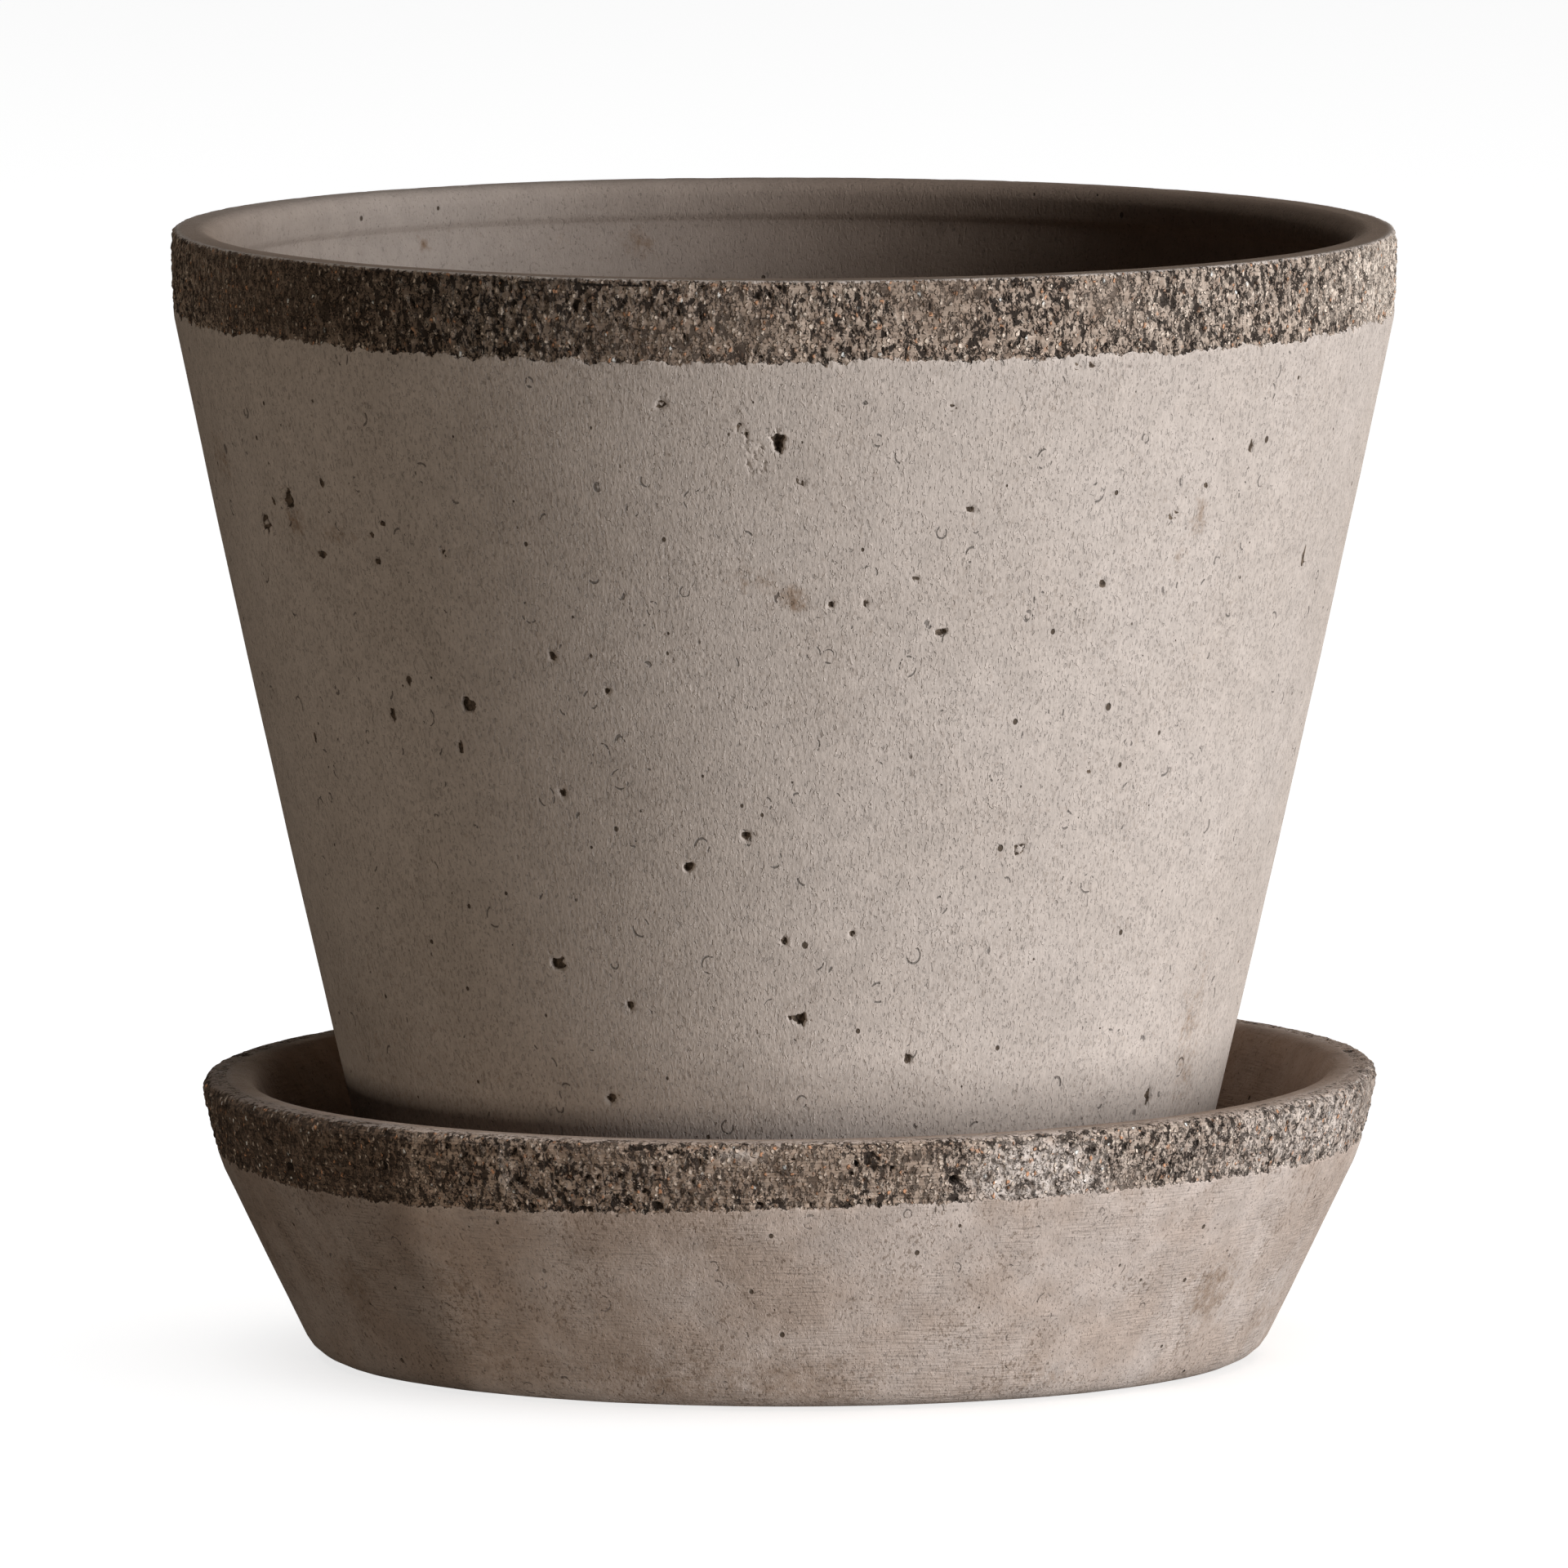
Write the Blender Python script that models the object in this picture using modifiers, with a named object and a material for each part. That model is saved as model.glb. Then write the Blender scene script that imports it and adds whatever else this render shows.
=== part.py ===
"""Clay flower pot standing in its own saucer: two turned and fired pieces.

Run with: blender --background --python part.py
Metres, +Z up. The origin is the centre of the saucer's underside.
Each piece is a closed outline turned about Z. In an outline a corner is (radius, height, rounding).
"""

import math

import bpy

# Pot. Heights are from its own underside, and radii are from the turning axis.
POT_HEIGHT = 0.1406
FOOT_RADIUS = 0.0505  # outside, where the wall meets the underside
BAND_HEIGHT = 0.0106  # bare band below the lip
BAND_RADIUS = 0.0799  # outside, at the band's lower edge
LIP_RADIUS = 0.0801  # outside, at the lip
WALL_BOW = 0.00054  # how far the wall swells past a straight line
BAND_BOW = 0.00030
WALL_RUN = 0.0068  # wall thickness, measured level
LIP_WIDTH = 0.0060
LIP_DEPTH = 0.0044  # the thicker inside edge below the lip
LIP_STEP = 0.0007  # how far that edge stands in from the wall below it
POT_FLOOR = 0.0080
POT_RECESS = 0.0018  # hollow under the floor, inside the foot ring
FOOT_RING = 0.0115  # width of the ring the pot stands on
DRAIN_RADIUS = 0.0090

# Saucer. Heights are from its underside.
SAUCER_HEIGHT = 0.0363
BASE_RADIUS = 0.0615  # where the outer wall's line meets the underside
SAUCER_SPLAY = 0.503  # outward run of the wall for each unit of height
SAUCER_BAND_HEIGHT = 0.0094
SAUCER_LIP_RADIUS = 0.0769
SAUCER_BAND_BOW = 0.00020
SAUCER_LIP_WIDTH = 0.0068
SAUCER_FLOOR = 0.0070
SAUCER_RECESS = 0.0012
BASE_RING = 0.0140  # width of the ring the saucer stands on

REST_GAP = 0.0003  # between the pot's foot ring and the saucer's floor

ROUND_FOOT = 0.0020
ROUND_INSIDE = 0.0080
ROUND_EDGE = 0.0010
ROUND_LIP_INSIDE = 0.0022
ROUND_SAUCER_BASE = 0.0050
ROUND_SAUCER_INSIDE = 0.0045

TURN_STEPS = 72
ARC_STEPS = 3
WALL_STEPS = 4
BAND_STEPS = 3
MERGE = 0.00001

CLAY_GREY = (0.46, 0.39, 0.34, 1.0)
CLAY_BROWN = (0.42, 0.34, 0.29, 1.0)
CLAY_ROUGHNESS = 0.92


def clear_scene():
    for obj in list(bpy.data.objects):
        bpy.data.objects.remove(obj)


def bowed(start, end, bow, steps):
    """Corners between start and end, pushed outwards by a parabola that is bow high in the middle."""
    corners = []
    for i in range(1, steps):
        t = i / steps
        radius = start[0] + (end[0] - start[0]) * t + 4 * bow * t * (1 - t)
        height = start[1] + (end[1] - start[1]) * t
        corners.append((radius, height, 0.0))
    return corners


def arc_at(before, corner, after):
    """Points of the arc of radius corner[2] that touches both sides of the corner."""
    to_before = (before[0] - corner[0], before[1] - corner[1])
    to_after = (after[0] - corner[0], after[1] - corner[1])
    angle_in = math.atan2(to_before[1], to_before[0])
    angle_out = math.atan2(to_after[1], to_after[0])
    opening = (angle_out - angle_in + math.pi) % (2 * math.pi) - math.pi
    half = abs(opening) / 2
    middle = angle_in + opening / 2
    reach = corner[2] / math.sin(half)
    centre = (corner[0] + reach * math.cos(middle), corner[1] + reach * math.sin(middle))
    turn = math.copysign(math.pi - abs(opening), -opening)
    first = angle_in + math.copysign(math.pi / 2, -opening)
    points = []
    for i in range(ARC_STEPS + 1):
        a = first + turn * i / ARC_STEPS
        points.append((centre[0] + corner[2] * math.cos(a), centre[1] + corner[2] * math.sin(a)))
    return points


def outline_of(corners, closed):
    """The outline's points, with an arc at each corner that has a rounding."""
    points = []
    for i, corner in enumerate(corners):
        at_end = not closed and i in (0, len(corners) - 1)
        if corner[2] == 0.0 or at_end:
            points.append((corner[0], corner[1]))
        else:
            points += arc_at(corners[i - 1], corner, corners[(i + 1) % len(corners)])
    return points


def turned(name, corners, closed, material):
    """A solid of revolution about Z. The outline runs down its outer side."""
    points = outline_of(corners, closed)
    edges = [(i, i + 1) for i in range(len(points) - 1)]
    if closed:
        edges.append((len(points) - 1, 0))
    mesh = bpy.data.meshes.new(name)
    mesh.from_pydata([(r, 0.0, z) for r, z in points], edges, [])
    mesh.materials.append(material)
    obj = bpy.data.objects.new(name, mesh)
    screw = obj.modifiers.new("turned", "SCREW")
    screw.axis = "Z"
    screw.steps = TURN_STEPS
    screw.render_steps = TURN_STEPS
    screw.use_merge_vertices = True
    screw.merge_threshold = MERGE
    screw.use_smooth_shade = True
    return obj


def clay(name, colour):
    material = bpy.data.materials.new(name)
    material.use_nodes = True
    shader = material.node_tree.nodes["Principled BSDF"]
    shader.inputs["Base Color"].default_value = colour
    shader.inputs["Roughness"].default_value = CLAY_ROUGHNESS
    shader.inputs["Metallic"].default_value = 0.0
    return material


def pot_wall_radius(height):
    """Outside radius of the pot's wall below its band."""
    t = height / (POT_HEIGHT - BAND_HEIGHT)
    return FOOT_RADIUS + (BAND_RADIUS - FOOT_RADIUS) * t + 4 * WALL_BOW * t * (1 - t)


def make_pot():
    band_foot = POT_HEIGHT - BAND_HEIGHT
    inner_top = POT_HEIGHT - LIP_DEPTH - LIP_STEP
    inner_top_radius = LIP_RADIUS - LIP_WIDTH + LIP_STEP
    inner_foot_radius = pot_wall_radius(POT_FLOOR) - WALL_RUN
    foot_outer = (FOOT_RADIUS, 0.0)
    band_start = (BAND_RADIUS, band_foot)
    lip_edge = (LIP_RADIUS, POT_HEIGHT)
    inner_edge = (LIP_RADIUS - LIP_WIDTH, POT_HEIGHT)
    corners = [(*lip_edge, ROUND_EDGE)]
    corners += bowed(lip_edge, band_start, BAND_BOW, BAND_STEPS)
    corners += [(*band_start, 0.0)]
    corners += bowed(band_start, foot_outer, WALL_BOW, WALL_STEPS)
    corners += [
        (*foot_outer, ROUND_FOOT),
        (FOOT_RADIUS - FOOT_RING, 0.0, 0.0),
        (FOOT_RADIUS - FOOT_RING - POT_RECESS, POT_RECESS, 0.0),
        (DRAIN_RADIUS, POT_RECESS, ROUND_EDGE),
        (DRAIN_RADIUS, POT_FLOOR, ROUND_EDGE),
        (inner_foot_radius, POT_FLOOR, ROUND_INSIDE),
    ]
    inner_foot = (inner_foot_radius, POT_FLOOR)
    corners += bowed(inner_foot, (inner_top_radius, inner_top), WALL_BOW, WALL_STEPS)
    corners += [
        (inner_top_radius, inner_top, 0.0),
        (inner_edge[0], POT_HEIGHT - LIP_DEPTH, 0.0),
        (*inner_edge, ROUND_LIP_INSIDE),
    ]
    pot = turned("pot", corners, True, clay("pot_clay", CLAY_GREY))
    pot.location.z = SAUCER_FLOOR + REST_GAP
    return pot


def make_saucer():
    band_foot = SAUCER_HEIGHT - SAUCER_BAND_HEIGHT
    band_start = (BASE_RADIUS + SAUCER_SPLAY * band_foot, band_foot)
    lip_edge = (SAUCER_LIP_RADIUS, SAUCER_HEIGHT)
    inner_radius = SAUCER_LIP_RADIUS - SAUCER_LIP_WIDTH
    inner_foot_radius = inner_radius - SAUCER_SPLAY * (SAUCER_HEIGHT - SAUCER_FLOOR)
    corners = [(0.0, SAUCER_FLOOR, 0.0)]
    corners += [
        (inner_foot_radius, SAUCER_FLOOR, ROUND_SAUCER_INSIDE),
        (inner_radius, SAUCER_HEIGHT, ROUND_LIP_INSIDE),
        (*lip_edge, ROUND_EDGE),
    ]
    corners += bowed(lip_edge, band_start, SAUCER_BAND_BOW, BAND_STEPS)
    corners += [
        (*band_start, 0.0),
        (BASE_RADIUS, 0.0, ROUND_SAUCER_BASE),
        (BASE_RADIUS - BASE_RING, 0.0, 0.0),
        (BASE_RADIUS - BASE_RING - SAUCER_RECESS, SAUCER_RECESS, 0.0),
        (0.0, SAUCER_RECESS, 0.0),
    ]
    return turned("saucer", corners, False, clay("saucer_clay", CLAY_BROWN))


def main():
    clear_scene()
    collection = bpy.data.collections.new("terracotta_pot")
    bpy.context.scene.collection.children.link(collection)
    for obj in (make_saucer(), make_pot()):
        collection.objects.link(obj)


main()
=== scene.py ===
import math

import bpy
import numpy as np
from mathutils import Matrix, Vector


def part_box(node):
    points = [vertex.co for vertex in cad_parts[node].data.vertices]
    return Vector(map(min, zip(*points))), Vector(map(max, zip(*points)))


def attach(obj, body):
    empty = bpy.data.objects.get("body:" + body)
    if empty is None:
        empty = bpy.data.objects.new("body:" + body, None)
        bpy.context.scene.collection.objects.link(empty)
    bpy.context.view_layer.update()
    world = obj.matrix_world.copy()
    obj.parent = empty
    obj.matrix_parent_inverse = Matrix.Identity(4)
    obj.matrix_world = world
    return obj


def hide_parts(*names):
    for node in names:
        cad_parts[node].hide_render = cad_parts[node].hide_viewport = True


# A raw clay pot in its saucer. Shapes are worked out in millimetres and stored in metres.
# Each piece is one closed outline turned about Z, then pressed in and out by the clay's own relief.

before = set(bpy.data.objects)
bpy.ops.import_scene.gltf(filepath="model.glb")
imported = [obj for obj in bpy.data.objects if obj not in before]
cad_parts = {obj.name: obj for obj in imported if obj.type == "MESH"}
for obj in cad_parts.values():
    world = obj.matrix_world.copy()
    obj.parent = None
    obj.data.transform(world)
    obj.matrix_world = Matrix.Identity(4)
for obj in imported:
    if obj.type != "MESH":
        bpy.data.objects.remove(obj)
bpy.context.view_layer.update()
potLow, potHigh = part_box("pot")
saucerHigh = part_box("saucer")[1]
metre = 1000.0  # millimetres in one
print("frame loaded")

# how much each coordinate counts in a noise: a small share draws its lumps out that way
even = (1, 1, 1)
upright = (1, 1, 0.3)
roundOnly = (1, 1, 0)

lotCount = 1024  # random numbers in a noise's table


def shuffledTable(seed):
    # the whole numbers below lotCount in a random order, and one random unit vector for each
    draw = np.random.default_rng(seed)
    order = draw.permutation(lotCount)
    arrows = draw.normal(size=(lotCount, 3))
    return order, arrows / np.linalg.norm(arrows, axis=1)[:, None]


def cornerKey(order, cell):
    # a number below lotCount for each lattice cube, the same each time that cube is asked for
    first = order[cell[:, 0] % lotCount]
    second = order[(first + cell[:, 1]) % lotCount]
    return order[(second + cell[:, 2]) % lotCount]


def softNoise(points, size, seed):
    # gradient noise: each corner of a cube lattice has a random slope, and the eight nearest slopes
    # are blended by 6t^5 - 15t^4 + 10t^3, with lumps about one size across
    order, arrows = shuffledTable(seed)
    lattice = points / size
    cell = np.floor(lattice).astype(np.int64)
    part = lattice - cell
    blend = part ** 3 * (part * (part * 6 - 15) + 10)
    total = np.zeros(len(points))
    for corner in np.ndindex(2, 2, 2):
        slope = arrows[cornerKey(order, cell + corner)]
        share = np.prod(np.where(corner, blend, 1 - blend), axis=1)
        total += share * np.sum(slope * (part - corner), axis=1)
    fullRange = 1.7  # brings the blend to about -1 to 1
    return total * fullRange


def waves(points, layers):
    # the sum of noises, each given as (height, lump size, each coordinate's share, seed)
    return sum(height * softNoise(points * share, size, seed) for height, size, share, seed in layers)


def nearestGrain(points, size, seed):
    # one grain at a random place in each cube: distance to the nearest grain's middle, in sizes,
    # and a random number from 0 to 1 that belongs to that grain
    order, arrows = shuffledTable(seed)
    lattice = points / size
    cell = np.floor(lattice).astype(np.int64)
    part = lattice - cell
    nearest = np.full(len(points), np.inf)
    lot = np.zeros(len(points))
    for step in np.ndindex(3, 3, 3):
        shift = np.array(step) - 1
        key = cornerKey(order, cell + shift)
        middle = shift + 0.5 + 0.5 * arrows[key]
        distance = np.linalg.norm(middle - part, axis=1)
        closer = distance < nearest
        nearest = np.where(closer, distance, nearest)
        lot = np.where(closer, key / (lotCount - 1), lot)
    return nearest, lot


def rise(value, low, high):
    # 0 below low, 1 above high, and 3t^2 - 2t^3 between
    t = np.clip((value - low) / (high - low), 0, 1)
    return t * t * (3 - 2 * t)


def apart(angle, middle):
    # the difference of two angles in degrees, taken the short way round
    return (angle - middle + 180) % 360 - 180


def hump(angle, middle, width):
    # a bell over an angle in degrees: exp(-(difference / width)^2)
    return np.exp(-(apart(angle, middle) / width) ** 2)


def patches(angle, height, spots):
    # the sum of spots, each strength * exp(-(degrees off / wide)^2 - (height off / tall)^2), up to 1
    # spots are (degrees round from the front, height, width in degrees, tall, strength)
    total = np.zeros(len(angle))
    for turn, middle, wide, tall, strength in spots:
        total += strength * hump(angle, turn, wide) * np.exp(-((height - middle) / tall) ** 2)
    return np.clip(total, 0, 1)


blockSteps = 16  # finest grid steps along each side of a block
levelCount = 5  # a block's cells are 1, 2, 4, 8 or 16 finest steps wide


def bowedSide(start, end, bow, t):
    # a straight line pushed sideways, to its left as it runs, by 4 t (1 - t) bow
    run = end - start
    aside = np.array([-run[1], run[0]]) / np.linalg.norm(run)
    return start + run * t[:, None] + aside * (4 * bow * t * (1 - t))[:, None]


def outlineRows(corners, closed):
    # each corner's arc has its centre on the line that halves the corner, round / sin(half) away,
    # and the sides between arcs are bowed lines
    # corners are dictionaries: at (radius, height), round, arc (blocks along the rounding) and
    # side (blocks along the line to the next corner), level (grid level of that line), bow
    # gives the outline's points, one for each finest row, and the grid level of each block row
    count = len(corners)
    places = [np.array(corner["at"], float) for corner in corners]
    leave, arrive, arcs = list(places), list(places), {}
    for i, corner in enumerate(corners):
        if not corner.get("round"):
            continue
        back = places[i - 1] - places[i]
        ahead = places[(i + 1) % count] - places[i]
        back, ahead = back / np.linalg.norm(back), ahead / np.linalg.norm(ahead)
        half = math.acos(np.clip(back @ ahead, -1, 1)) / 2
        reach = corner["round"] / math.tan(half)
        arrive[i], leave[i] = places[i] + back * reach, places[i] + ahead * reach
        middle = back + ahead
        centre = places[i] + middle / np.linalg.norm(middle) * corner["round"] / math.sin(half)
        arcs[i] = (centre, corner["round"], arrive[i] - centre, leave[i] - centre)
    points, levels = [], []
    for i, corner in enumerate(corners):
        if i in arcs:
            t = np.arange(corner["arc"] * blockSteps) / (corner["arc"] * blockSteps)
            centre, radius, first, last = arcs[i]
            begin = math.atan2(first[1], first[0])
            turn = (math.atan2(last[1], last[0]) - begin + math.pi) % (2 * math.pi) - math.pi
            angle = begin + turn * t
            points.append(centre + radius * np.stack([np.cos(angle), np.sin(angle)], 1))
            levels += [corner["arcLevel"]] * corner["arc"]
        if corner.get("side"):
            t = np.arange(corner["side"] * blockSteps) / (corner["side"] * blockSteps)
            points.append(bowedSide(leave[i], arrive[(i + 1) % count], corner.get("bow", 0), t))
            levels += [corner["level"]] * corner["side"]
    if not closed:
        points.append(places[-1][None])
    return np.concatenate(points), np.array(levels)


def outlineNormals(points, closed):
    # the outline's direction by central differences, turned a quarter turn to point out of the clay
    if closed:
        run = np.roll(points, -1, 0) - np.roll(points, 1, 0)
    else:
        run = np.gradient(points, axis=0)
    out = np.stack([-run[:, 1], run[:, 0]], 1)
    return out / np.linalg.norm(out, axis=1)[:, None]


def evenOut(levels, closed):
    # lowers each level to the least of its four neighbours' levels plus one, until none is higher
    for _ in range(levelCount):
        around = np.minimum(np.roll(levels, 1, 1), np.roll(levels, -1, 1))
        above, below = np.roll(levels, 1, 0), np.roll(levels, -1, 0)
        if not closed:
            above[0], below[-1] = levels[0], levels[-1]
        levels = np.minimum(levels, np.minimum(around, np.minimum(above, below)) + 1)
    return levels


def gridFaces(levels, closed):
    # levels holds one number for each block: its cells are 2^level finest steps wide and tall
    # a cell whose neighbour is finer becomes a fan about its middle, and any other cell is one quad
    # gives each used point's column and row on the finest grid, then quads and triangles of them
    blockRows, blockColumns = levels.shape
    columns, rows = blockColumns * blockSteps, blockRows * blockSteps
    wrapRows = rows if closed else rows + 1
    quads, fans = [], []
    for level in range(levelCount):
        blockRow, blockColumn = np.nonzero(levels == level)
        size = 2 ** level
        inner = np.arange(0, blockSteps, size)
        i = (blockColumn[:, None, None] * blockSteps + inner[None, :, None] + 0 * inner).ravel()
        j = (blockRow[:, None, None] * blockSteps + inner + 0 * inner[None, :, None]).ravel()

        def finer(column, row):
            # whether the block that holds this step has a lower level than this one
            inside = (row >= 0) & (row < rows) if not closed else np.ones(len(row), bool)
            at = levels[(row // blockSteps) % blockRows, (column // blockSteps) % blockColumns]
            return inside & (at < level)

        def code(column, row):
            # row times the number of columns, plus column, both wrapped round
            return (row % wrapRows) * columns + column % columns

        ring = [code(i, j), code(i, j + size), code(i + size, j + size), code(i + size, j)]
        split = [finer(i - 1, j), finer(i, j + size), finer(i + size, j), finer(i, j - 1)]
        whole = ~np.any(split, axis=0)
        quads.append(np.stack(ring, 1)[whole])
        half = size // 2
        centre = code(i + half, j + half)
        halfway = [
            code(i, j + half),
            code(i + half, j + size),
            code(i + size, j + half),
            code(i + half, j),
        ]
        for side in range(4):
            start, end = ring[side], ring[(side + 1) % 4]
            plain, cut = ~whole & ~split[side], split[side]
            fans.append(np.stack([centre, start, end], 1)[plain])
            fans.append(np.stack([centre, start, halfway[side]], 1)[cut])
            fans.append(np.stack([centre, halfway[side], end], 1)[cut])
    quads, fans = np.concatenate(quads), np.concatenate(fans)
    codes, index = np.unique(np.concatenate([quads.ravel(), fans.ravel()]), return_inverse=True)
    quads = index[:quads.size].reshape(-1, 4)
    fans = index[quads.size:].reshape(-1, 3)
    return codes % columns, codes // columns, quads, fans


def closePoles(column, row, rows, fans):
    # joins the ring of points at each open end of the outline to one new point on the axis
    closing = [fans]
    for end, turn in ((0, 1), (rows, -1)):
        ring = np.nonzero(row == end)[0]
        ring = ring[np.argsort(column[ring])][::turn]
        pole = np.full(len(ring), len(column) + (end > 0))
        closing.append(np.stack([pole, ring, np.roll(ring, -1)], 1))
    return np.concatenate(closing)


def turnAbout(rowPlace, rowNormal, column, row, columns):
    # swings each point's (radius, height) and outward direction about Z by (r cos turn, r sin turn),
    # and gives its angle in degrees from the front, which is -Y
    turn = column * 2 * math.pi / (columns * blockSteps)
    heading = np.stack([np.cos(turn), np.sin(turn)], 1)
    place, normal = rowPlace[row], rowNormal[row]
    points = np.concatenate([heading * place[:, :1], place[:, 1:]], 1)
    outward = np.concatenate([heading * normal[:, :1], normal[:, 1:]], 1)
    return points, outward, np.degrees(turn) + 90


def putMesh(name, points, quads, triangles, attributes):
    # a mesh of these points over metre, with four corners for each quad, then three for each triangle
    mesh = bpy.data.meshes.new(name)
    mesh.vertices.add(len(points))
    mesh.vertices.foreach_set("co", (points / metre).astype(np.float32).ravel())
    corners = np.concatenate([quads.ravel(), triangles.ravel()]).astype(np.int32)
    mesh.loops.add(len(corners))
    mesh.loops.foreach_set("vertex_index", corners)
    starts = np.concatenate([np.arange(len(quads)) * 4, quads.size + np.arange(len(triangles)) * 3])
    mesh.polygons.add(len(starts))
    mesh.polygons.foreach_set("loop_start", starts.astype(np.int32))
    for label, values in attributes.items():
        layer = mesh.attributes.new(label, "FLOAT", "POINT")
        layer.data.foreach_set("value", values.astype(np.float32))
    mesh.update(calc_edges=True)
    mesh.validate()
    mesh.shade_smooth()
    piece = bpy.data.objects.new(name, mesh)
    bpy.context.scene.collection.objects.link(piece)
    print(name, len(quads) * 2 + len(triangles), "triangles")
    return piece


def gritRelief(points, angle, grit):
    # torn clay: upright grains that stand out as domes 1 - (distance / radius)^2, slots where grains
    # were pulled away, level scrape lines and a slow swell; worn stretches have fewer of them
    # gives the height in millimetres, and from 0 to 1: how deep a point lies in a slot, how worn it is,
    # and how far it lies on a cream grain and on a rust grain
    seed, wornMost, grainRadius = grit["seed"], 0.7, 0.6
    worn = rise(softNoise(points, 13.0, seed + 6), 0.1, 0.6) * wornMost
    worn = np.maximum(worn, patches(angle, points[:, 2], grit["worn"]))
    standing = points * [1, 1, 1 / grit["tall"]]
    bent = standing + 0.25 * softNoise(standing, 0.8, seed + 5)[:, None]
    distance, lot = nearestGrain(bent, grit["grain"], seed)
    dome = np.clip(1 - (distance / grainRadius) ** 2, 0, 1) * (1 - wornMost * worn)
    slots = softNoise(standing, grit["slot"], seed + 1)
    wide = softNoise(points * [1, 1, 0.8], grit["slot"] * 3, seed + 2)
    slot = rise(slots + 0.45 * wide - 0.4 * worn, *grit["slotFrom"])
    scrape = softNoise(points * [0.07, 0.07, 1], grit["scrape"], seed + 3)
    swell = softNoise(points, 6.0, seed + 4)
    height = grit["grainHeight"] * dome * (0.25 + 0.75 * lot) - grit["slotDepth"] * slot
    height += grit["scrapeHeight"] * scrape + 0.1 * swell
    cream = dome * (lot > grit["creamFrom"]) * (1 - slot)
    rust = dome * (abs(lot - 0.5) < grit["rustShare"] / 2) * (1 - slot)
    return height, slot, worn, cream, rust


def insideBand(points, angle, top, piece):
    # how far each point lies inside the bare band: the lesser of its distances to the ragged lower
    # edge and to the lip's edge
    lower = top - piece["band"] + waves(points, piece["lowerEdge"])
    for turn, wide, lift in piece["edgeBends"]:
        lower += lift * hump(angle, turn, wide)
    upper = top - piece["lipEdge"] + waves(points, piece["upperEdge"])
    return np.minimum(points[:, 2] - lower, upper - points[:, 2])


farFromBand = -4.0  # what a point that can't be in the band has for its distance into it
bandBlend = (-0.15, 0.3)  # distances between which the band's relief takes over from the skin's

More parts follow.
